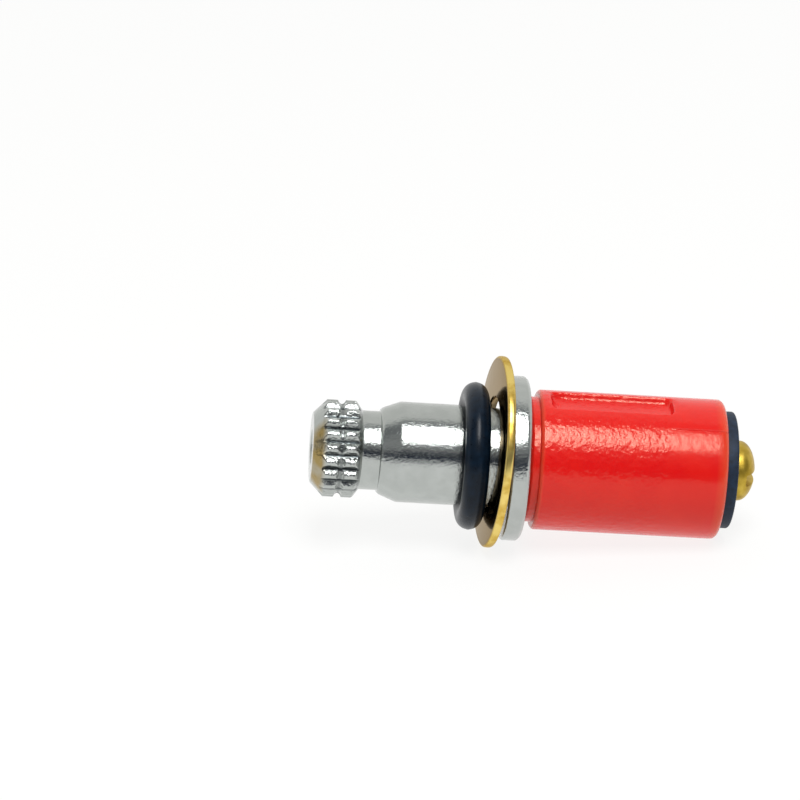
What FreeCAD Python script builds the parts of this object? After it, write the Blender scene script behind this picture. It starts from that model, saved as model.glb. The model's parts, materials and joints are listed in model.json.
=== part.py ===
import FreeCAD, Part

import math
import os

# Faucet stem, laid on its side: a turned spindle with an O-ring and a loose washer, and a moulded
# plunger that the spindle's hidden thread drives in and out. Sizes are in millimetres, angles in degrees.
# Every piece is drawn round the X axis, from the broach at zero towards the seat screw, with Z up.
# At the end all of them are tilted and lowered together, onto the floor they rest on.

# Broach, the splined end that takes the handle
broach_radius = 6.8
broach_length = 6.9
broach_front_chamfer = 1.9
broach_rear_chamfer = 0.95
tooth_count = 20
tooth_depth = 0.68
tooth_gap_width = 1.35
tooth_gap_root = 0.15
tooth_phase = 20.0
broach_groove_place = 3.95
broach_groove_width = 1.15
broach_groove_depth = 0.5

# Tapped hole for the handle screw
handle_screw_radius = 2.05
handle_screw_depth = 10.0
handle_screw_countersink = 0.5
drill_point_angle = 118.0

# Neck, shoulder and journal
neck_radius = 5.55
neck_length = 2.5
shoulder_step = 0.55
shoulder_edge = 0.3
shoulder_length = 2.8
journal_radius = 7.07
journal_length = 15.0

# Flange, and the shank behind it, which stays in the plunger by the length held when it is fully out
flange_radius = 11.6
flange_thickness = 2.65
flange_edge = 0.45
shank_radius = 6.2
shank_held = 11.65
shank_end_chamfer = 0.8
plunger_travel = 6.35
relief_length = 1.6
relief_depth = 0.9

# O-ring, stretched into a shallow seat that is turned from there to the flange, where it flattens a little
o_ring_section = 3.53
o_ring_seat_depth = 0.18
o_ring_seat_gap = 0.15
o_ring_flattening = 0.02
o_ring_clearance = 0.1

# Stamped washer, loose on the journal, leaning against the flange
washer_radius = 13.5
washer_hole_play = 0.68
washer_thickness = 1.15
washer_edge = 0.3
washer_lean_up = 2.8
washer_lean_near = 3.0
washer_side_hang = 0.1
washer_clearance = 0.1

# Plunger
plunger_radius = 9.85
plunger_end_wall = 7.6
plunger_end_round = 0.85
plunger_start_edge = 0.3
plunger_lip_radius = 8.8
plunger_lip_length = 1.25
plunger_rest_gap = 0.3
shank_clearance = 0.08
shank_end_gap = 0.7
keyway_width = 4.6
keyway_length = 17.0
keyway_depth = 1.2
keyway_start = 1.65
keyway_corner = 1.2
keyway_angle = 8.0
keyway_edge = 0.2

# Seat washer, in a recess in the plunger's end
seat_rim_wall = 1.5
seat_thickness = 3.2
seat_proud = 1.65
seat_clearance = 0.1
seat_edge = 0.2
seat_hole_clearance = 0.2

# Seat screw
screw_radius = 2.4
screw_tip_wall = 1.3
screw_point = 0.8
screw_fit = 0.02
head_radius = 4.24
head_side = 1.15
head_dome = 2.25
slot_width = 1.7
slot_depth = 1.6
slot_angle = -2.0

X_AXIS = FreeCAD.Vector(1, 0, 0)
ORIGIN = FreeCAD.Vector(0, 0, 0)


def point(along, out):
    """A point of a turned outline: its place along the axis and its distance from it."""
    return FreeCAD.Vector(along, 0, out)


def lines(corners):
    """Straight edges from each corner of an outline to the next."""
    return [Part.makeLine(point(*a), point(*b)) for a, b in zip(corners, corners[1:])]


def turned(edges):
    """The solid that a closed outline sweeps when it is turned once round the axis."""
    return Part.Face(Part.Wire(edges)).revolve(ORIGIN, X_AXIS, 360)


def turned_edges(shape, along, out, reach=0.01):
    """The circular edges of a turned shape at one place along the axis and one radius."""
    found = []
    for edge in shape.Edges:
        if not isinstance(edge.Curve, Part.Circle):
            continue
        if abs(edge.Curve.Center.x - along) < reach and abs(edge.Curve.Radius - out) < reach:
            found.append(edge)
    return found


# Places along the axis that more than one piece needs
shoulder_place = broach_length + neck_length
journal_place = shoulder_place + shoulder_length
flange_place = journal_place + journal_length
shank_place = flange_place + flange_thickness
shank_end = shank_place + plunger_travel + shank_held
lip_place = shank_place + plunger_rest_gap
plunger_place = lip_place + plunger_lip_length
bore_end = shank_end + shank_end_gap
seat_floor = bore_end + plunger_end_wall
seat_face = seat_floor + seat_thickness
plunger_end = seat_face - seat_proud
bore_radius = shank_radius + shank_clearance
recess_radius = plunger_radius - seat_rim_wall
seat_radius = recess_radius - seat_clearance
inner_journal_radius = journal_radius - o_ring_seat_depth
washer_hole_radius = journal_radius + washer_hole_play


def make_spindle_blank():
    """The turned bar before its teeth are cut: broach, neck, shoulder, journal, flange and shank."""
    face_radius = broach_radius - broach_front_chamfer
    groove_start = broach_groove_place - broach_groove_width / 2
    groove_end = broach_groove_place + broach_groove_width / 2
    groove_radius = broach_radius - broach_groove_depth
    shoulder_radius = neck_radius + shoulder_step
    ring_place = o_ring_place()[0]
    ring_seat_place = ring_place - o_ring_section / 2 - o_ring_seat_gap
    relief_radius = shank_radius - relief_depth
    relief_end = shank_place + relief_length
    return turned(lines([
        (0, 0),
        (0, face_radius),
        (broach_front_chamfer, broach_radius),
        (groove_start, broach_radius),
        (groove_start + broach_groove_depth, groove_radius),
        (groove_end - broach_groove_depth, groove_radius),
        (groove_end, broach_radius),
        (broach_length - broach_rear_chamfer, broach_radius),
        (broach_length, neck_radius),
        (shoulder_place, neck_radius),
        (shoulder_place, shoulder_radius - shoulder_edge),
        (shoulder_place + shoulder_edge, shoulder_radius),
        (journal_place, journal_radius),
        (ring_seat_place, journal_radius),
        (ring_seat_place, inner_journal_radius),
        (flange_place, inner_journal_radius),
        (flange_place, flange_radius - flange_edge / 2),
        (flange_place + flange_edge / 2, flange_radius),
        (shank_place - flange_edge, flange_radius),
        (shank_place, flange_radius - flange_edge),
        (shank_place, relief_radius),
        (relief_end, relief_radius),
        (relief_end + relief_depth, shank_radius),
        (shank_end - shank_end_chamfer, shank_radius),
        (shank_end, shank_radius - shank_end_chamfer),
        (shank_end, 0),
        (0, 0),
    ]))


def make_handle_screw_hole():
    """A drilled and countersunk hole for the handle screw, with the drill's pointed end."""
    drill_point = handle_screw_radius / math.tan(math.radians(drill_point_angle / 2))
    return turned(lines([
        (-1, 0),
        (-1, handle_screw_radius + handle_screw_countersink + 1),
        (handle_screw_countersink, handle_screw_radius),
        (handle_screw_depth, handle_screw_radius),
        (handle_screw_depth + drill_point, 0),
        (-1, 0),
    ]))


def make_tooth_gaps():
    """The straight gaps between the broach's teeth, which run out over the neck."""
    root = broach_radius - tooth_depth
    slope = (tooth_gap_width - tooth_gap_root) / 2 / tooth_depth
    outside = broach_radius + 0.5
    half_outside = tooth_gap_root / 2 + slope * (outside - root)
    corners = [
        FreeCAD.Vector(-1, -tooth_gap_root / 2, root),
        FreeCAD.Vector(-1, tooth_gap_root / 2, root),
        FreeCAD.Vector(-1, half_outside, outside),
        FreeCAD.Vector(-1, -half_outside, outside),
        FreeCAD.Vector(-1, -tooth_gap_root / 2, root),
    ]
    reach = 1 + broach_length + neck_length / 2
    gap = Part.Face(Part.makePolygon(corners)).extrude(X_AXIS * reach)
    pitch = 360 / tooth_count
    gaps = []
    for index in range(tooth_count):
        copy = gap.copy()
        copy.rotate(ORIGIN, X_AXIS, 90 - tooth_phase + pitch * (index + 0.5))
        gaps.append(copy)
    return gaps


def make_stem_spindle():
    return make_spindle_blank().cut([make_handle_screw_hole(), *make_tooth_gaps()])


def washer_pose():
    """Where the loose washer hangs and which way it leans.

    Its hole rests on top of the stem's journal, hung a little to the far side so that the stem lies
    without rolling. It touches the flange's rim on the upper near side, and its lower edge stands away.
    """
    lean_up = math.tan(math.radians(washer_lean_up))
    lean_near = math.tan(math.radians(washer_lean_near))
    facing = FreeCAD.Vector(1, lean_near, -lean_up)
    facing.normalize()
    hang = washer_hole_radius - inner_journal_radius - washer_clearance
    touch = (flange_radius - flange_edge / 2) * math.hypot(lean_up, lean_near)
    touch += washer_side_hang * lean_near - hang * lean_up
    half = washer_thickness / 2 / facing.x
    centre = FreeCAD.Vector(
        flange_place - touch - washer_clearance - half, washer_side_hang, hang)
    return centre, facing


def make_retaining_washer():
    centre, facing = washer_pose()
    half = washer_thickness / 2
    ring = turned(lines([
        (-half, washer_hole_radius),
        (-half, washer_radius - washer_edge),
        (washer_edge - half, washer_radius),
        (half - washer_edge, washer_radius),
        (half, washer_radius - washer_edge),
        (half, washer_hole_radius),
        (-half, washer_hole_radius),
    ]))
    ring.Placement = FreeCAD.Placement(centre, FreeCAD.Rotation(X_AXIS, facing))
    return ring


def o_ring_place():
    """The O-ring's place along the axis, just clear of the washer's lower side, and its ring radius."""
    centre, facing = washer_pose()
    section_radius = o_ring_section / 2
    ring_radius = inner_journal_radius + section_radius - o_ring_flattening
    washer_face = (facing.dot(centre) - washer_thickness / 2) / facing.x
    lean = math.acos(facing.x)
    reach = (section_radius + ring_radius * math.sin(lean)) / math.cos(lean)
    return washer_face - reach - o_ring_clearance, ring_radius


def make_stem_o_ring():
    """A round-section ring, flat where it hugs its seat."""
    place, ring_radius = o_ring_place()
    section_radius = o_ring_section / 2
    ring = Part.makeTorus(ring_radius, section_radius, FreeCAD.Vector(place, 0, 0), X_AXIS)
    seat = Part.makeCylinder(
        inner_journal_radius, o_ring_section, FreeCAD.Vector(place - section_radius, 0, 0), X_AXIS)
    return ring.cut(seat)


def make_keyway():
    """The keyway's round-cornered pocket, cut from outside down to its flat floor."""
    floor = plunger_radius - keyway_depth
    pocket = Part.makeBox(
        keyway_length, keyway_width, keyway_depth * 2,
        FreeCAD.Vector(plunger_place + keyway_start, -keyway_width / 2, floor))
    upright = [edge for edge in pocket.Edges if abs(edge.tangentAt(edge.FirstParameter).z) > 0.99]
    pocket = pocket.makeFillet(keyway_corner, upright)
    pocket.rotate(ORIGIN, X_AXIS, keyway_angle)
    return pocket


def make_plunger():
    blank = turned(lines([
        (lip_place, bore_radius),
        (lip_place, plunger_lip_radius - plunger_start_edge),
        (lip_place + plunger_start_edge, plunger_lip_radius),
        (plunger_place, plunger_lip_radius),
        (plunger_place, plunger_radius - plunger_start_edge),
        (plunger_place + plunger_start_edge, plunger_radius),
        (plunger_end, plunger_radius),
        (plunger_end, recess_radius),
        (seat_floor, recess_radius),
        (seat_floor, screw_radius + screw_fit),
        (bore_end, screw_radius + screw_fit),
        (bore_end, bore_radius),
        (lip_place, bore_radius),
    ]))
    blank = blank.makeFillet(plunger_end_round, turned_edges(blank, plunger_end, plunger_radius))
    sleeve = blank.cut(make_keyway())
    rim = []
    for edge in sleeve.Edges:
        middle = edge.valueAt((edge.FirstParameter + edge.LastParameter) / 2)
        on_outside = abs(math.hypot(middle.y, middle.z) - plunger_radius) < 0.01
        clear_of_ends = plunger_place + 1 < middle.x < plunger_end - 1
        if on_outside and clear_of_ends and edge.Length < keyway_length:
            rim.append(edge)
    return sleeve.makeChamfer(keyway_edge, rim)


def make_seat_washer():
    hole = screw_radius + seat_hole_clearance
    return turned(lines([
        (seat_floor, hole),
        (seat_floor, seat_radius),
        (seat_face - seat_edge, seat_radius),
        (seat_face, seat_radius - seat_edge),
        (seat_face, hole),
        (seat_floor, hole),
    ]))


def make_seat_screw():
    """A round-head screw: its dome is a quarter of an ellipse on a short straight side."""
    tip = bore_end + screw_tip_wall
    side_end = seat_face + head_side
    top = side_end + head_dome
    dome = Part.Ellipse(point(side_end, head_radius), point(top, 0), point(side_end, 0))
    start = dome.parameter(point(top, 0))
    end = dome.parameter(point(side_end, head_radius))
    if end < start:
        start, end = end, start
    edges = lines([
        (top, 0),
        (tip, 0),
        (tip, screw_radius - screw_point),
        (tip + screw_point, screw_radius),
        (seat_face, screw_radius),
        (seat_face, head_radius),
        (side_end, head_radius),
    ])
    edges.append(Part.Edge(dome, start, end))
    slot = Part.makeBox(
        slot_depth * 2, head_radius * 3, slot_width,
        FreeCAD.Vector(top - slot_depth, -head_radius * 1.5, -slot_width / 2))
    slot.rotate(ORIGIN, X_AXIS, -slot_angle)
    return turned(edges).cut(slot)


def reach_down(centre, facing, ring_radius, edge_round, tilt):
    """How far below the axis frame's origin a ring reaches with its edge round, once all is tilted."""
    down = FreeCAD.Vector(math.sin(math.radians(tilt)), 0, -math.cos(math.radians(tilt)))
    across = math.sqrt(1 - facing.dot(down) ** 2)
    return centre.dot(down) + ring_radius * across + edge_round


def resting_place():
    """The tilt at which the washer's rim and the plunger's end stand on one floor, and its depth."""
    centre, facing = washer_pose()
    low_side = centre + facing * (washer_thickness / 2 - washer_edge)
    washer_rim = (low_side, facing, washer_radius, 0)
    end_centre = FreeCAD.Vector(plunger_end - plunger_end_round, 0, 0)
    plunger_rim = (end_centre, X_AXIS, plunger_radius - plunger_end_round, plunger_end_round)
    low, high = 0.0, 20.0
    while high - low > 1e-9:
        tilt = (low + high) / 2
        if reach_down(*washer_rim, tilt) > reach_down(*plunger_rim, tilt):
            low = tilt
        else:
            high = tilt
    return tilt, reach_down(*washer_rim, tilt)


pieces = {
    "stem_spindle": make_stem_spindle(),
    "stem_o_ring": make_stem_o_ring(),
    "retaining_washer": make_retaining_washer(),
    "plunger": make_plunger(),
    "seat_washer": make_seat_washer(),
    "seat_screw": make_seat_screw(),
}

tilt, depth = resting_place()
laid = FreeCAD.Placement(FreeCAD.Vector(0, 0, depth), FreeCAD.Rotation(FreeCAD.Vector(0, 1, 0), tilt))
for shape in pieces.values():
    shape.Placement = laid.multiply(shape.Placement)
box = Part.makeCompound(list(pieces.values())).optimalBoundingBox(False, False)
centring = FreeCAD.Placement(FreeCAD.Vector(-box.Center.x, -box.Center.y, 0), FreeCAD.Rotation())

os.makedirs("parts", exist_ok=True)
for name, shape in pieces.items():
    shape.Placement = centring.multiply(shape.Placement)
    shape.exportStep("parts/" + name + ".step")

axis_start = centring.multiply(laid).multVec(ORIGIN)
axis_way = laid.Rotation.multVec(X_AXIS)
print("tilt", tilt, "axis starts", axis_start, "axis way", axis_way)
print("box", box)
print("o-ring at", o_ring_place()[0], "washer at", washer_pose()[0])
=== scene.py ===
import json
import math

import bmesh
import bpy
from mathutils import Matrix, Vector


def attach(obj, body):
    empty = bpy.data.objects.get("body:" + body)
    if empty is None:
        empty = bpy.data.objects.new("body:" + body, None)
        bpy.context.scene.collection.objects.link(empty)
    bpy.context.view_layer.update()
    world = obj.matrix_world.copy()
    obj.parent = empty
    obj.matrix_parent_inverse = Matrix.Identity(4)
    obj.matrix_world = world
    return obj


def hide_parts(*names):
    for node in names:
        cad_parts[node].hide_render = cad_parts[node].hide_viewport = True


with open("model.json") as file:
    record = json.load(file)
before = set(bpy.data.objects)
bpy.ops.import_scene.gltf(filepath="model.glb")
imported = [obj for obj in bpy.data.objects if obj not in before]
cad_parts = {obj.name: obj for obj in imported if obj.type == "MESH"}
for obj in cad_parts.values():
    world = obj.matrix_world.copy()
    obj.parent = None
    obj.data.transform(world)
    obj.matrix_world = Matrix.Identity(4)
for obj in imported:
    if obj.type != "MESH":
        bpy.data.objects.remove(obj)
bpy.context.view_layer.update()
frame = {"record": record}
bpy.ops.object.select_all(action="DESELECT")

# Stem spindle: one bar of brass, turned, its 20 teeth broached, its coarse two-start thread cut left handed,
# then polished and chrome plated. The handle pushes onto the teeth, and a screw into its end holds it.
# All pieces are drawn in millimetres round the X axis, with 0 at this end, and then laid as the stem lies.
MM = 0.001
end_hole = next(m for m in frame["record"]["mounts"] if m["name"] == "handle_screw_hole")
stem_way = -Vector(end_hole["axis"])
stem_start = Vector(end_hole["pos_m"]) - stem_way * 5 * MM
stem_tilt = math.atan2(-stem_way.z, stem_way.x)
POLE = 0.002
SIDES = 240


def eased(corners):
    """An outline whose corners (along, radius, ease) are rounded off over their ease."""
    stations = []
    for index, (along, out, ease) in enumerate(corners):
        here = Vector((along, out))
        if ease == 0 or index in (0, len(corners) - 1):
            stations.append(here)
            continue
        before = Vector(corners[index - 1][:2])
        after = Vector(corners[index + 1][:2])
        start = here + (before - here).normalized() * ease
        end = here + (after - here).normalized() * ease
        for step in range(4):
            t = step / 3
            stations.append(start * (1 - t) ** 2 + here * 2 * t * (1 - t) + end * t ** 2)
    return stations


def turned(name, stations, sides=SIDES, closed=False):
    """A ring is extruded from station to station and sized to each radius, as on a lathe."""
    first = stations[0]
    bpy.ops.mesh.primitive_circle_add(vertices=sides, radius=first[1] * MM, fill_type="NOTHING",
                                      location=(first[0] * MM, 0, 0), rotation=(0, math.pi / 2, 0))
    piece = bpy.context.object
    piece.name = name
    piece.data.name = name
    bpy.ops.object.mode_set(mode="EDIT")
    bpy.ops.mesh.select_all(action="SELECT")
    path = list(stations) + ([first] if closed else [])
    for before, after in zip(path, path[1:]):
        size = after[1] / before[1]
        bpy.ops.mesh.extrude_region_move(
            TRANSFORM_OT_translate={"value": ((after[0] - before[0]) * MM, 0, 0)})
        bpy.ops.transform.resize(value=(1, size, size), center_override=(after[0] * MM, 0, 0))
    bpy.ops.mesh.select_all(action="SELECT")
    bpy.ops.mesh.remove_doubles(threshold=0.005 * MM)
    bpy.ops.mesh.normals_make_consistent(inside=False)
    bpy.ops.object.mode_set(mode="OBJECT")
    bpy.ops.object.transform_apply(location=True, rotation=True, scale=True)
    return piece


def laid(piece, smooth=32):
    """Shades a finished piece and lays it in place, with its object at the origin."""
    bpy.ops.object.select_all(action="DESELECT")
    piece.select_set(True)
    bpy.context.view_layer.objects.active = piece
    bpy.ops.object.shade_smooth_by_angle(angle=math.radians(smooth))
    piece.location = stem_start
    piece.rotation_euler = (0, stem_tilt, 0)
    bpy.ops.object.transform_apply(location=True, rotation=True, scale=True)
    piece.select_set(False)


def colour(code):
    """The linear colour of an sRGB hex code."""
    parts = [int(code[i:i + 2], 16) / 255 for i in (1, 3, 5)]
    return [c / 12.92 if c <= 0.04045 else ((c + 0.055) / 1.055) ** 2.4 for c in parts] + [1.0]


def add(tree, kind, links=(), **settings):
    """Adds a node, sets its sockets and properties by name, and links (from node, socket, to socket)."""
    node = tree.nodes.new(kind)
    for key, value in settings.items():
        if key in node.bl_rna.properties:
            setattr(node, key, value)
        else:
            node.inputs[key.replace("_", " ")].default_value = value
    for source, output, target in links:
        tree.links.new(source.outputs[output], node.inputs[target])
    return node


def material(name):
    """A new material, its tree, its surface shader and Object coordinates centred along the stem."""
    made = bpy.data.materials.new(name)
    made.use_nodes = True
    tree = made.node_tree
    where = add(tree, "ShaderNodeTexCoord")
    along = add(tree, "ShaderNodeMapping", [(where, "Object", "Vector")], vector_type="TEXTURE")
    along.inputs["Location"].default_value = stem_start
    along.inputs["Rotation"].default_value = (0, stem_tilt, 0)
    return made, tree, tree.nodes["Principled BSDF"], along


# Corners of the turned outline (along, radius, ease), from the bottom of the drilled hole, out over the broach,
# to the shank's end
BROACH = 6.8
JOURNAL = 7.07
INNER_JOURNAL = 6.89
hole = [(11.232, POLE, 0), (10.0, 2.05, 0)]
for turn in range(22):
    hole += [(9.4 - 0.4 * turn, 2.05, 0), (9.2 - 0.4 * turn, 2.34, 0)]
hole += [(0.5, 2.05, 0), (0, 2.55, 0.08), (0, 4.9, 0.15), (1.2, 6.1, 0)]
broach = [(1.2 + 0.1 * step, 6.1 + 0.1 * step, 0) for step in range(1, 8)]
broach += [(2.1, BROACH, 0), (2.8, BROACH, 0)]
for step in range(9):
    across = -1 + step / 4
    broach.append((3.95 + 0.575 * across, BROACH - 0.56 * math.cos(across * math.pi / 2) ** 0.8, 0))
broach += [(5.0, BROACH, 0), (5.85, BROACH, 0)]
broach += [(5.95 + 0.095 * step, BROACH - 0.125 * step, 0) for step in range(1, 10)]
body = [
    (6.9, 5.55, 0.12), (9.4, 5.55, 0.1), (9.4, 5.8, 0.1), (9.75, 6.12, 0.25), (12.2, JOURNAL, 0.3),
    (15.0, JOURNAL, 0), (18.0, JOURNAL, 0), (20.73, JOURNAL, 0.03), (20.73, INNER_JOURNAL, 0.03),
    (24.0, INNER_JOURNAL, 0), (27.2, INNER_JOURNAL, 0.08), (27.2, 11.375, 0.15), (27.43, 11.6, 0.15),
    (29.4, 11.6, 0.2), (29.85, 11.15, 0.1), (29.85, 5.3, 0.1), (31.45, 5.3, 0),
]
thread = [(31.6 + 0.2 * step, 5.3 + min(0.9, 0.2 * step), 0) for step in range(78)]
tail = [(47.2, 6.05, 0), (47.5, 5.75, 0), (47.85, 5.4, 0), (47.85, POLE, 0)]
spindle = turned("chromed_spindle", eased(hole + broach + body + thread + tail))

# One tooth faces 20 degrees above the near side, and the thread's two starts climb by their lead in a turn.
# Each vertex is drawn down to the floor of the gap or the thread groove that it lies in.
TOOTH_PITCH = 18
FIRST_TOOTH = 160
GAP_FLOOR = 6.1
TOOTH_HEIGHT = 0.7
LEAD = 4.233
STARTS = 2
THREAD_ROOT = 5.25
THREAD_HEIGHT = 0.95
cut = bmesh.new()
cut.from_mesh(spindle.data)
cut.transform(Matrix.Rotation(math.radians(1), 4, "X"))
for vertex in cut.verts:
    along = vertex.co.x / MM
    out = math.hypot(vertex.co.y, vertex.co.z) / MM
    angle = math.degrees(math.atan2(vertex.co.z, vertex.co.y))
    floor = out
    if along < 7.2 and out > 5.6:
        from_tooth = abs((angle - FIRST_TOOTH + TOOTH_PITCH / 2) % TOOTH_PITCH - TOOTH_PITCH / 2)
        rise = min(1, max(0, (8.4 - from_tooth) / 6.6))
        floor = GAP_FLOOR + TOOTH_HEIGHT * (0.55 * rise + 0.45 * rise * rise * (3 - 2 * rise))
    if 31.5 < along < 47.84 and out > 5.2:
        turn = (angle / 360 + along / LEAD) * STARTS % 1
        rise = min(1, max(0, (abs(turn - 0.5) - 0.12) / 0.2))
        floor = THREAD_ROOT + THREAD_HEIGHT * rise
    if floor < out:
        vertex.co.y *= floor / out
        vertex.co.z *= floor / out
cut.to_mesh(spindle.data)
cut.free()
laid(spindle, 40)

# Polished chrome plate mirrors the pale studio. It has fine pits and faint turning marks, grime and painted
# shade between the teeth, chatter on them, and on the near side of the broach's front chamfer a painted
# reflection of brass.
chrome, tree, surface, along = material("polished chrome plate")
surface.inputs["Metallic"].default_value = 1
stain = add(tree, "ShaderNodeTexNoise", [(along, "Vector", "Vector")], Scale=420, Detail=3)
tint = add(tree, "ShaderNodeValToRGB", [(stain, "Fac", "Fac")])
tint.color_ramp.elements[0].position = 0.35
tint.color_ramp.elements[0].color = colour("#B0B4B1")
tint.color_ramp.elements[1].position = 0.65
tint.color_ramp.elements[1].color = colour("#B7BBB8")
axes = add(tree, "ShaderNodeSeparateXYZ", [(along, "Vector", "Vector")])
# Painted reflection: on the near side of the front chamfer, patches of the plate are coloured brass, standing
# in for the reflection of brass beside the stem.
front = add(tree, "ShaderNodeMapRange", [(axes, "X", "Value")], From_Min=0.0019, From_Max=0.0012)
near_side = add(tree, "ShaderNodeMapRange", [(axes, "Y", "Value")], From_Min=-0.0028, From_Max=-0.0042)
patch = add(tree, "ShaderNodeTexNoise", [(along, "Vector", "Vector")], Scale=350, Detail=2)
patchiness = add(tree, "ShaderNodeMapRange", [(patch, "Fac", "Value")], From_Min=0.35, From_Max=0.6, To_Min=0.5,
           To_Max=0.9)
wear_and_brass_reflection = add(tree, "ShaderNodeMath", [(front, "Result", 0), (near_side, "Result", 1)], operation="MULTIPLY")
painted_brass_reflection = add(tree, "ShaderNodeMath", [(wear_and_brass_reflection, 0, 0), (patchiness, "Result", 1)], operation="MULTIPLY")
plate_and_brass_reflection = add(tree, "ShaderNodeMix", [(painted_brass_reflection, 0, "Factor"), (tint, "Color", "A")], data_type="RGBA")
plate_and_brass_reflection.inputs["B"].default_value = colour("#9A8244")
flat = add(tree, "ShaderNodeMapping", [(along, "Vector", "Vector")], Scale=(0, 1, 1))
reach = add(tree, "ShaderNodeVectorMath", [(flat, "Vector", 0)], operation="LENGTH")
# Grime and painted shade: the teeth's valleys and the ring groove are darkened, for the dirt in them and for
# the shade that falls there.
deep = add(tree, "ShaderNodeMapRange", [(reach, "Value", "Value")], From_Min=0.0064, From_Max=0.00612)
broached = add(tree, "ShaderNodeMapRange", [(axes, "X", "Value")], From_Min=0.0068, From_Max=0.0062)
toothed = add(tree, "ShaderNodeMapRange", [(axes, "X", "Value")], From_Min=0.0012, From_Max=0.0019)
within = add(tree, "ShaderNodeMath", [(broached, "Result", 0), (toothed, "Result", 1)], operation="MULTIPLY")
dirt_and_painted_shade_mask = add(tree, "ShaderNodeMath", [(within, 0, 0), (deep, "Result", 1)], operation="MULTIPLY")
grime_and_painted_shade = add(tree, "ShaderNodeMix", [(dirt_and_painted_shade_mask, 0, "Factor"), (plate_and_brass_reflection, "Result", "A")], data_type="RGBA")
grime_and_painted_shade.inputs["B"].default_value = colour("#3A4042")
tree.links.new(grime_and_painted_shade.outputs["Result"], surface.inputs["Base Color"])
gloss = add(tree, "ShaderNodeMapRange", [(stain, "Fac", "Value")], From_Min=0.3, From_Max=0.7, To_Min=0.1,
            To_Max=0.14)
tree.links.new(gloss.outputs["Result"], surface.inputs["Roughness"])
squeeze = add(tree, "ShaderNodeMapping", [(along, "Vector", "Vector")], Scale=(1, 0.03, 0.03))
marks = add(tree, "ShaderNodeTexNoise", [(squeeze, "Vector", "Vector")], Scale=3600, Detail=3)
pits = add(tree, "ShaderNodeTexNoise", [(along, "Vector", "Vector")], Scale=2600, Detail=4, Roughness=0.6)
chatter = add(tree, "ShaderNodeTexNoise", [(along, "Vector", "Vector")], Scale=2400, Detail=2)
torn = add(tree, "ShaderNodeMath", [(chatter, "Fac", 0), (within, 0, 1)], operation="MULTIPLY")
scuffs = add(tree, "ShaderNodeBump", [(torn, 0, "Height")], Strength=0.9, Distance=0.00016)
rough = add(tree, "ShaderNodeBump", [(pits, "Fac", "Height"), (scuffs, "Normal", "Normal")], Strength=0.45,
            Distance=0.00011)
lathe = add(tree, "ShaderNodeBump", [(marks, "Fac", "Height"), (rough, "Normal", "Normal")], Strength=0.25,
            Distance=0.00004)
tree.links.new(lathe.outputs["Normal"], surface.inputs["Normal"])
spindle.data.materials.append(chrome)
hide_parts("stem_spindle")
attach(spindle, "stem")

# O-ring: black nitrile rubber, moulded in two halves, which leaves a hair of flash round its outside. It is
# stretched into the turned-down seat on the journal, where its inside flattens.
ring_place = 22.64
ring_radius = 8.635
section = 1.765
seat = 6.895
flash = 0.03
ring_steps = 44
ring_stations = []
for step in range(ring_steps):
    round_it = 2 * math.pi * step / ring_steps
    outer = section if step == ring_steps // 4 else section - flash
    out = ring_radius + outer * math.sin(round_it)
    ring_stations.append((ring_place + section * math.cos(round_it), max(seat, out)))
o_ring = turned("nitrile_o_ring", ring_stations, closed=True)
laid(o_ring, 40)

# Moulded nitrile is blue-black with a soft, slightly dusty sheen.
rubber, tree, surface, along = material("moulded nitrile rubber")
dust = add(tree, "ShaderNodeTexNoise", [(along, "Vector", "Vector")], Scale=900, Detail=4)
tone = add(tree, "ShaderNodeValToRGB", [(dust, "Fac", "Fac")])
tone.color_ramp.elements[0].position = 0.4
tone.color_ramp.elements[0].color = colour("#06121E")
tone.color_ramp.elements[1].position = 0.75
tone.color_ramp.elements[1].color = colour("#0A1C2C")
tree.links.new(tone.outputs["Color"], surface.inputs["Base Color"])
sheen = add(tree, "ShaderNodeMapRange", [(dust, "Fac", "Value")], To_Min=0.22, To_Max=0.36)
tree.links.new(sheen.outputs["Result"], surface.inputs["Roughness"])
surface.inputs["IOR"].default_value = 1.52
surface.inputs["Specular IOR Level"].default_value = 0.18
grain = add(tree, "ShaderNodeBump", [(dust, "Fac", "Height")], Strength=0.15, Distance=0.0001)
tree.links.new(grain.outputs["Normal"], surface.inputs["Normal"])
o_ring.data.materials.append(rubber)
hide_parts("stem_o_ring")
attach(o_ring, "stem")

# Retaining washer: a ring stamped from 1.15 mm brass strip, its edge rolled over on the side the punch came
# from and sharp on the other. It is loose on the journal and leans against the flange.
washer = turned("stamped_washer", eased([
    (-0.575, 7.9, 0), (-0.575, 13.3, 0.25), (-0.3, 13.5, 0.15), (0.3, 13.5, 0.12), (0.575, 13.38, 0.1),
    (0.575, 7.85, 0.1), (0.5, 7.75, 0.05), (-0.4, 7.75, 0.1), (-0.575, 7.9, 0),
]))
washer_at = Vector((25.74, 0.1, 0.76)) * MM
facing = Vector((1, math.tan(math.radians(3)), -math.tan(math.radians(2.8)))).normalized()
washer.data.transform(Vector((1, 0, 0)).rotation_difference(facing).to_matrix().to_4x4())
washer.data.transform(Matrix.Translation(washer_at))
laid(washer, 35)

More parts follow.
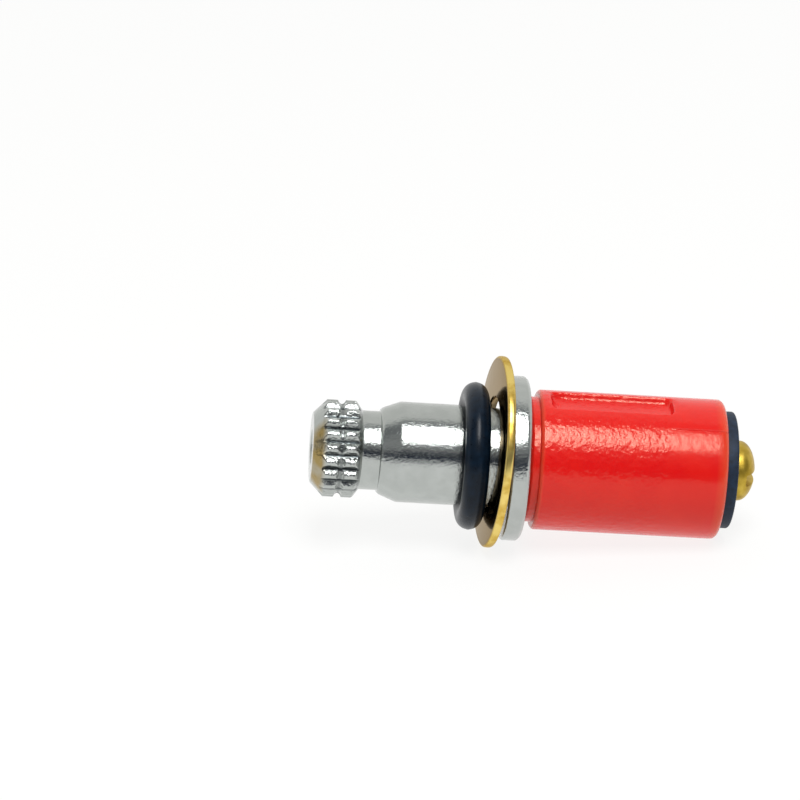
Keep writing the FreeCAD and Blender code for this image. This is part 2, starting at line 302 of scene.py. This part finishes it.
# Half-hard brass: yellow, its rim sheared and satin with brown tarnish in spots, its faces rolled bright and
# painted a duller grey-tan, a painted reflection of the surroundings in their polish.
brass, tree, surface, along = material("rolled brass strip")
surface.inputs["Metallic"].default_value = 1
surface.inputs["Specular Tint"].default_value = (0.7, 0.62, 0.5, 1)
spots = add(tree, "ShaderNodeTexNoise", [(along, "Vector", "Vector")], Scale=330, Detail=5, Roughness=0.6)
tone = add(tree, "ShaderNodeValToRGB", [(spots, "Fac", "Fac")])
tone.color_ramp.elements[0].position = 0.36
tone.color_ramp.elements[0].color = colour("#C9A23C")
tone.color_ramp.elements[1].position = 0.56
tone.color_ramp.elements[1].color = colour("#EDD27A")
flat = add(tree, "ShaderNodeMapping", [(along, "Vector", "Vector")], Location=(0, -washer_at.y, -washer_at.z),
           Scale=(0, 1, 1))
reach = add(tree, "ShaderNodeVectorMath", [(flat, "Vector", 0)], operation="LENGTH")
gloss = add(tree, "ShaderNodeMapRange", [(reach, "Value", "Value")], From_Min=0.0126, From_Max=0.0136,
            To_Min=0.1, To_Max=0.32)
rim = add(tree, "ShaderNodeMapRange", [(reach, "Value", "Value")], From_Min=0.0131, From_Max=0.0134)
# Painted reflection: the faces take a flat grey-tan in place of the rim's yellow brass.
rim_and_painted_face = add(tree, "ShaderNodeMix", [(rim, "Result", "Factor"), (tone, "Color", "B")], data_type="RGBA")
rim_and_painted_face.inputs["A"].default_value = colour("#8E7C62")
tree.links.new(rim_and_painted_face.outputs["Result"], surface.inputs["Base Color"])
tree.links.new(gloss.outputs["Result"], surface.inputs["Roughness"])
grit = add(tree, "ShaderNodeTexNoise", [(along, "Vector", "Vector")], Scale=1800, Detail=3)
wear_and_brass_reflection = add(tree, "ShaderNodeBump", [(grit, "Fac", "Height")], Strength=0.12, Distance=0.00008)
tree.links.new(wear_and_brass_reflection.outputs["Normal"], surface.inputs["Normal"])
washer.data.materials.append(brass)
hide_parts("retaining_washer")
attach(washer, "washer")

# Plunger: acetal, moulded in one piece round the thread that drives it. A keyway along its top keeps it from
# turning, a lip meets the flange, and its end is hollowed for the seat washer.
PLUNGER = 9.85
plunger = turned("moulded_plunger", eased([
    (30.15, 6.28, 0), (30.15, 8.5, 0.08), (30.45, 8.8, 0.12), (31.4, 8.8, 0.15), (31.4, 9.55, 0.1),
    (31.7, PLUNGER, 0.15), *[(32 + 1.6 * step, PLUNGER, 0) for step in range(15)], (56.2, PLUNGER, 0),
    (56.85, PLUNGER, 0), (57.12, 9.81, 0), (57.35, 9.69, 0), (57.53, 9.52, 0), (57.66, 9.28, 0), (57.7, 9.0, 0),
    (57.7, 8.35, 0.1), (56.15, 8.35, 0.08), (56.15, 2.42, 0), (48.55, 2.42, 0), (48.55, 6.28, 0),
    (30.16, 6.28, 0),
])[:-1], closed=True)

# The keyway's cutter is a slab with round corners and a round bottom edge, which flares where it leaves the
# surface, so that the edge comes out soft, as moulded.
KEYWAY_LONG = 17
KEYWAY_WIDE = 4.6
KEYWAY_START = 33.05
bpy.ops.mesh.primitive_plane_add(size=1, location=(0, 0, 0))
keyway = bpy.context.object
keyway.name = "keyway_cutter"
keyway.scale = (KEYWAY_LONG * MM, KEYWAY_WIDE * MM, 1)
bpy.ops.object.transform_apply(location=True, rotation=True, scale=True)
bpy.ops.object.mode_set(mode="EDIT")
bpy.ops.mesh.select_all(action="SELECT")
bpy.ops.mesh.bevel(offset=1.2 * MM, segments=6, affect="VERTICES")
layers = [(0.0, -0.8), (0.07, -0.5), (0.22, -0.24), (0.45, -0.08), (0.7, 0.04), (0.92, 0.2), (1.12, 0.5),
          (1.7, 1.5)]
for (low, before), (high, after) in zip([(0, 0)] + layers, layers):
    wide = ((KEYWAY_LONG + 2 * after) / (KEYWAY_LONG + 2 * before),
            (KEYWAY_WIDE + 2 * after) / (KEYWAY_WIDE + 2 * before), 1)
    if high > 0:
        bpy.ops.mesh.extrude_region_move(TRANSFORM_OT_translate={"value": (0, 0, (high - low) * MM)})
    bpy.ops.transform.resize(value=wide, center_override=(0, 0, high * MM))
bpy.ops.mesh.select_all(action="SELECT")
bpy.ops.mesh.normals_make_consistent(inside=False)
bpy.ops.object.mode_set(mode="OBJECT")
for vertex in keyway.data.vertices:
    if vertex.co.z > 0.5 * MM:
        vertex.co.z += (math.sqrt(PLUNGER ** 2 - (vertex.co.y / MM) ** 2) - 9.6) * MM
keyway.data.transform(Matrix.Translation(Vector((KEYWAY_START + KEYWAY_LONG / 2, 0, 8.65)) * MM))
keyway.data.transform(Matrix.Rotation(math.radians(8), 4, "X"))


def carve(piece, cutter):
    """Cuts one shape out of another and leaves nothing of the cutter."""
    bpy.ops.object.select_all(action="DESELECT")
    bpy.context.view_layer.objects.active = piece
    piece.select_set(True)
    bite = piece.modifiers.new("bite", "BOOLEAN")
    bite.operation = "DIFFERENCE"
    bite.solver = "EXACT"
    bite.object = cutter
    bpy.ops.object.modifier_apply(modifier=bite.name)
    bpy.data.objects.remove(cutter)


carve(plunger, keyway)
laid(plunger, 32)

# Glossy red acetal. Its skin ripples like orange peel over the threaded length and is smoother at the seat
# end, where a witness line of the mould runs along it, and orange painted highlights run round its lip and
# its seat end's edge.
acetal, tree, surface, along = material("moulded red acetal")
axes = add(tree, "ShaderNodeSeparateXYZ", [(along, "Vector", "Vector")])
blotch = add(tree, "ShaderNodeTexNoise", [(along, "Vector", "Vector")], Scale=260, Detail=3)
tone = add(tree, "ShaderNodeValToRGB", [(blotch, "Fac", "Fac")])
tone.color_ramp.elements[0].position = 0.35
tone.color_ramp.elements[0].color = colour("#DA1214")
tone.color_ramp.elements[1].position = 0.7
tone.color_ramp.elements[1].color = colour("#DE1A16")
# Painted highlights: orange lines along the lip's edges and round the seat end, where light catches the
# corners.
length = add(tree, "ShaderNodeMapRange", [(axes, "X", "Value")], From_Min=0.030, From_Max=0.058)
edge_highlight_ramp = add(tree, "ShaderNodeValToRGB", [(length, "Result", "Fac")])
edge_highlight_ramp.color_ramp.elements[0].position = 0
edge_highlight_ramp.color_ramp.elements[0].color = (0.3, 0.3, 0.3, 1)
edge_highlight_ramp.color_ramp.elements[1].position = (57.4 - 30) / 28
edge_highlight_ramp.color_ramp.elements[1].color = (1, 1, 1, 1)
for place, level in ((30.5, 0.1), (31.3, 0.1), (31.5, 0.9), (32, 0), (56.0, 0)):
    mark = edge_highlight_ramp.color_ramp.elements.new((place - 30) / 28)
    mark.color = (level, level, level, 1)
red_with_painted_edge_highlights = add(tree, "ShaderNodeMix", [(edge_highlight_ramp, "Color", "Factor"), (tone, "Color", "A")], data_type="RGBA")
red_with_painted_edge_highlights.inputs["B"].default_value = colour("#D8452A")
tree.links.new(red_with_painted_edge_highlights.outputs["Result"], surface.inputs["Base Color"])
surface.inputs["Roughness"].default_value = 0.2
surface.inputs["IOR"].default_value = 1.48
surface.inputs["Specular IOR Level"].default_value = 0.55
surface.inputs["Specular Tint"].default_value = (1, 0.86, 0.66, 1)
surface.inputs["Subsurface Weight"].default_value = 0.25
surface.inputs["Subsurface Radius"].default_value = (0.0012, 0.0002, 0.0001)
surface.inputs["Subsurface Scale"].default_value = 1.0
peel = add(tree, "ShaderNodeTexNoise", [(along, "Vector", "Vector")], Scale=1150, Detail=3, Roughness=0.5)
swell = add(tree, "ShaderNodeMapRange", [(axes, "X", "Value")], From_Min=0.0485, From_Max=0.0495, To_Min=1.0,
            To_Max=0.3)
level = add(tree, "ShaderNodeMath", [(peel, "Fac", 0)], operation="SUBTRACT")
level.inputs[1].default_value = 0.5
waves = add(tree, "ShaderNodeMath", [(level, 0, 0), (swell, "Result", 1)], operation="MULTIPLY")
turn = add(tree, "ShaderNodeMath", [(axes, "Z", 0), (axes, "Y", 1)], operation="ARCTAN2")
off_line = add(tree, "ShaderNodeMath", [(turn, 0, 0)], operation="SUBTRACT")
off_line.inputs[1].default_value = math.radians(127)
far = add(tree, "ShaderNodeMath", [(off_line, 0, 0)], operation="ABSOLUTE")
near_line = add(tree, "ShaderNodeMapRange", [(far, 0, "Value")], From_Min=0.016, From_Max=0.004)
step_in = add(tree, "ShaderNodeMapRange", [(axes, "X", "Value")], From_Min=0.0495, From_Max=0.0505)
line = add(tree, "ShaderNodeMath", [(near_line, "Result", 0), (step_in, "Result", 1)], operation="MULTIPLY")
skin = add(tree, "ShaderNodeBump", [(waves, 0, "Height")], Strength=0.5, Distance=0.00022)
witness = add(tree, "ShaderNodeBump", [(line, 0, "Height"), (skin, "Normal", "Normal")], Strength=0.9,
              Distance=0.00008)
tree.links.new(witness.outputs["Normal"], surface.inputs["Normal"])
plunger.data.materials.append(acetal)
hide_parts("plunger")
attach(plunger, "plunger")

# Seat washer: a flat disc of firmer rubber that closes on the valve seat, pressed into the plunger's end. Its
# face is slightly dished from the moulding, with a fine lip.
seat_washer = turned("seat_rubber_disc", eased([
    (56.16, 2.6, 0), (56.16, 8.25, 0.15), (59.15, 8.25, 0.12), (59.35, 8.05, 0.12), (59.3, 7.5, 0.1),
    (59.3, 4.5, 0.1), (59.35, 4.0, 0), (59.35, 2.6, 0),
]), closed=True)
laid(seat_washer, 35)

# Slate-black rubber, drier and duller than the O-ring, with a matt moulded skin.
seat_rubber, tree, surface, along = material("matt seat rubber")
dust = add(tree, "ShaderNodeTexNoise", [(along, "Vector", "Vector")], Scale=1100, Detail=5)
tone = add(tree, "ShaderNodeValToRGB", [(dust, "Fac", "Fac")])
tone.color_ramp.elements[0].position = 0.35
tone.color_ramp.elements[0].color = colour("#0E1C2C")
tone.color_ramp.elements[1].position = 0.75
tone.color_ramp.elements[1].color = colour("#1A2E46")
tree.links.new(tone.outputs["Color"], surface.inputs["Base Color"])
surface.inputs["Roughness"].default_value = 0.55
surface.inputs["Specular IOR Level"].default_value = 0.3
grain = add(tree, "ShaderNodeBump", [(dust, "Fac", "Height")], Strength=0.3, Distance=0.0001)
tree.links.new(grain.outputs["Normal"], surface.inputs["Normal"])
seat_washer.data.materials.append(seat_rubber)
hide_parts("seat_washer")
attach(seat_washer, "plunger")

# Seat screw: a round-head brass screw, its head pressed and its slot sawn, which leaves a small burr. It holds
# the seat washer and bites into the plunger's end.
dome = [(60.5 + 2.25 * math.sin(math.radians(a)), max(POLE, 4.24 * math.cos(math.radians(a))), 0)
        for a in (0, 8, 16, 24, 32, 40, 48, 56, 63, 70, 76, 82, 87, 90)]
screw = turned("brass_seat_screw", eased([
    (49.85, POLE, 0), (49.85, 1.6, 0), (50.65, 2.4, 0), (59.36, 2.4, 0), (59.36, 4.12, 0), (59.5, 4.24, 0.08),
    *dome,
]), sides=160)
bpy.ops.mesh.primitive_cube_add(size=1, location=(62.75 * MM, 0, 0))
saw = bpy.context.object
saw.scale = (3.2 * MM, 14 * MM, 1.7 * MM)
saw.rotation_euler = (math.radians(2), 0, 0)
bpy.ops.object.transform_apply(location=True, rotation=True, scale=True)
bpy.ops.object.mode_set(mode="EDIT")
bpy.ops.mesh.select_all(action="SELECT")
bpy.ops.mesh.bevel(offset=0.12 * MM, segments=2)
bpy.ops.object.mode_set(mode="OBJECT")
carve(screw, saw)
ease = screw.modifiers.new("burr", "BEVEL")
ease.width = 0.09 * MM
ease.segments = 2
ease.limit_method = "ANGLE"
ease.angle_limit = math.radians(40)
bpy.ops.object.modifier_apply(modifier=ease.name)
laid(screw, 30)

# Pressed brass: deeper yellow than the washer, with soft brown tarnish and a satin surface.
screw_brass, tree, surface, along = material("pressed screw brass")
surface.inputs["Metallic"].default_value = 1
spots = add(tree, "ShaderNodeTexNoise", [(along, "Vector", "Vector")], Scale=500, Detail=4)
tone = add(tree, "ShaderNodeValToRGB", [(spots, "Fac", "Fac")])
tone.color_ramp.elements[0].position = 0.35
tone.color_ramp.elements[0].color = colour("#A88A2A")
tone.color_ramp.elements[1].position = 0.62
tone.color_ramp.elements[1].color = colour("#CDB04C")
tree.links.new(tone.outputs["Color"], surface.inputs["Base Color"])
surface.inputs["Roughness"].default_value = 0.42
grit = add(tree, "ShaderNodeBump", [(spots, "Fac", "Height")], Strength=0.35, Distance=0.0003)
tree.links.new(grit.outputs["Normal"], surface.inputs["Normal"])
screw.data.materials.append(screw_brass)
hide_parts("seat_screw")
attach(screw, "plunger")

# Floor: a pale matt sheet. Part of its brightness is its own, so that it stays white and the stem's shadow on
# it is soft and faint.
bpy.ops.mesh.primitive_plane_add(size=1, location=(0, 0, 0))
floor = bpy.context.object
floor.name = "floor"
floor.scale = (6, 6, 1)
bpy.ops.object.transform_apply(location=True, rotation=True, scale=True)
paper, tree, surface, along = material("pale paper sheet")
surface.inputs["Base Color"].default_value = (0.12, 0.12, 0.118, 1)
surface.inputs["Roughness"].default_value = 0.9
surface.inputs["Specular IOR Level"].default_value = 0.1
surface.inputs["Emission Color"].default_value = (1, 1, 0.995, 1)
surface.inputs["Emission Strength"].default_value = 0.86
floor.data.materials.append(paper)

# Studio: a pale backdrop behind and over the stem, the unlit room on the near side, and one softbox high on
# the near side, which gives the long white light along the chrome and the plastic.
studio = bpy.data.worlds.new("studio")
bpy.context.scene.world = studio
studio.use_nodes = True
tree = studio.node_tree
sky = tree.nodes["Background"]
way = add(tree, "ShaderNodeTexCoord")
parts = add(tree, "ShaderNodeSeparateXYZ", [(way, "Generated", "Vector")])
near = add(tree, "ShaderNodeMath", [(parts, "Y", 0)], operation="MULTIPLY")
near.inputs[1].default_value = -1
height = add(tree, "ShaderNodeMath", [(parts, "Z", 0), (near, 0, 1)], operation="ARCTAN2")
over = add(tree, "ShaderNodeMapRange", [(height, 0, "Value")], From_Min=0, From_Max=math.pi)
walls = add(tree, "ShaderNodeValToRGB", [(over, "Result", "Fac")])
walls.color_ramp.elements[0].position = 0.0
walls.color_ramp.elements[0].color = (0.012, 0.02, 0.045, 1)
walls.color_ramp.elements[1].position = 1.0
walls.color_ramp.elements[1].color = (0.88, 0.88, 0.86, 1)
for angle, level in ((13, (0.015, 0.022, 0.045)), (20, (0.14, 0.145, 0.155)), (28, (0.3, 0.305, 0.31)),
                     (44, (0.38, 0.385, 0.39)), (84, (0.2, 0.21, 0.22)), (96, (0.3, 0.31, 0.32)),
                     (102, (0.86, 0.86, 0.84))):
    wall = walls.color_ramp.elements.new(angle / 180)
    wall.color = (*level, 1)
tree.links.new(walls.outputs["Color"], sky.inputs["Color"])
sky.inputs["Strength"].default_value = 1.0

softbox = bpy.data.objects.new("softbox", bpy.data.lights.new("softbox", "AREA"))
bpy.context.collection.objects.link(softbox)
softbox.data.shape = "RECTANGLE"
softbox.data.size = 0.3
softbox.data.size_y = 0.36
softbox.data.energy = 3.9
lean = math.radians(63)
away = 0.68
aim = Vector((0.035, 0, 0.012))
softbox.location = (aim.x, -away * math.cos(lean), away * math.sin(lean))
softbox.rotation_euler = (softbox.location - aim).to_track_quat("Z", "Y").to_euler()

# Camera: a long lens, 620 mm away, 20 degrees above the floor, a little towards the broach end and rolled by
# less than a degree, with the stem to the right of the picture's middle and below it.
focal = 4407.7
distance = 0.62
azimuth, elevation, roll = math.radians(-3.0), math.radians(20), math.radians(-0.68)
back = Vector((math.sin(azimuth) * math.cos(elevation), -math.cos(azimuth) * math.cos(elevation),
               math.sin(elevation)))
level_right = Vector((math.cos(azimuth), math.sin(azimuth), 0))
level_up = back.cross(level_right)
right = level_right * math.cos(roll) + level_up * math.sin(roll)
up = level_up * math.cos(roll) - level_right * math.sin(roll)
eye = Vector((0, 0, 0.013)) + back * distance
eye += right * (-131.9 * distance / focal) + up * (53.22 * distance / focal)
camera = bpy.data.objects.new("camera", bpy.data.cameras.new("camera"))
bpy.context.collection.objects.link(camera)
camera.matrix_world = Matrix((
    (right.x, up.x, back.x, eye.x),
    (right.y, up.y, back.y, eye.y),
    (right.z, up.z, back.z, eye.z),
    (0, 0, 0, 1),
))
camera.data.sensor_width = 36
camera.data.lens = focal / 800 * 36
camera.data.clip_start = 0.01
bpy.context.scene.camera = camera
bpy.context.scene.view_settings.view_transform = "Standard"
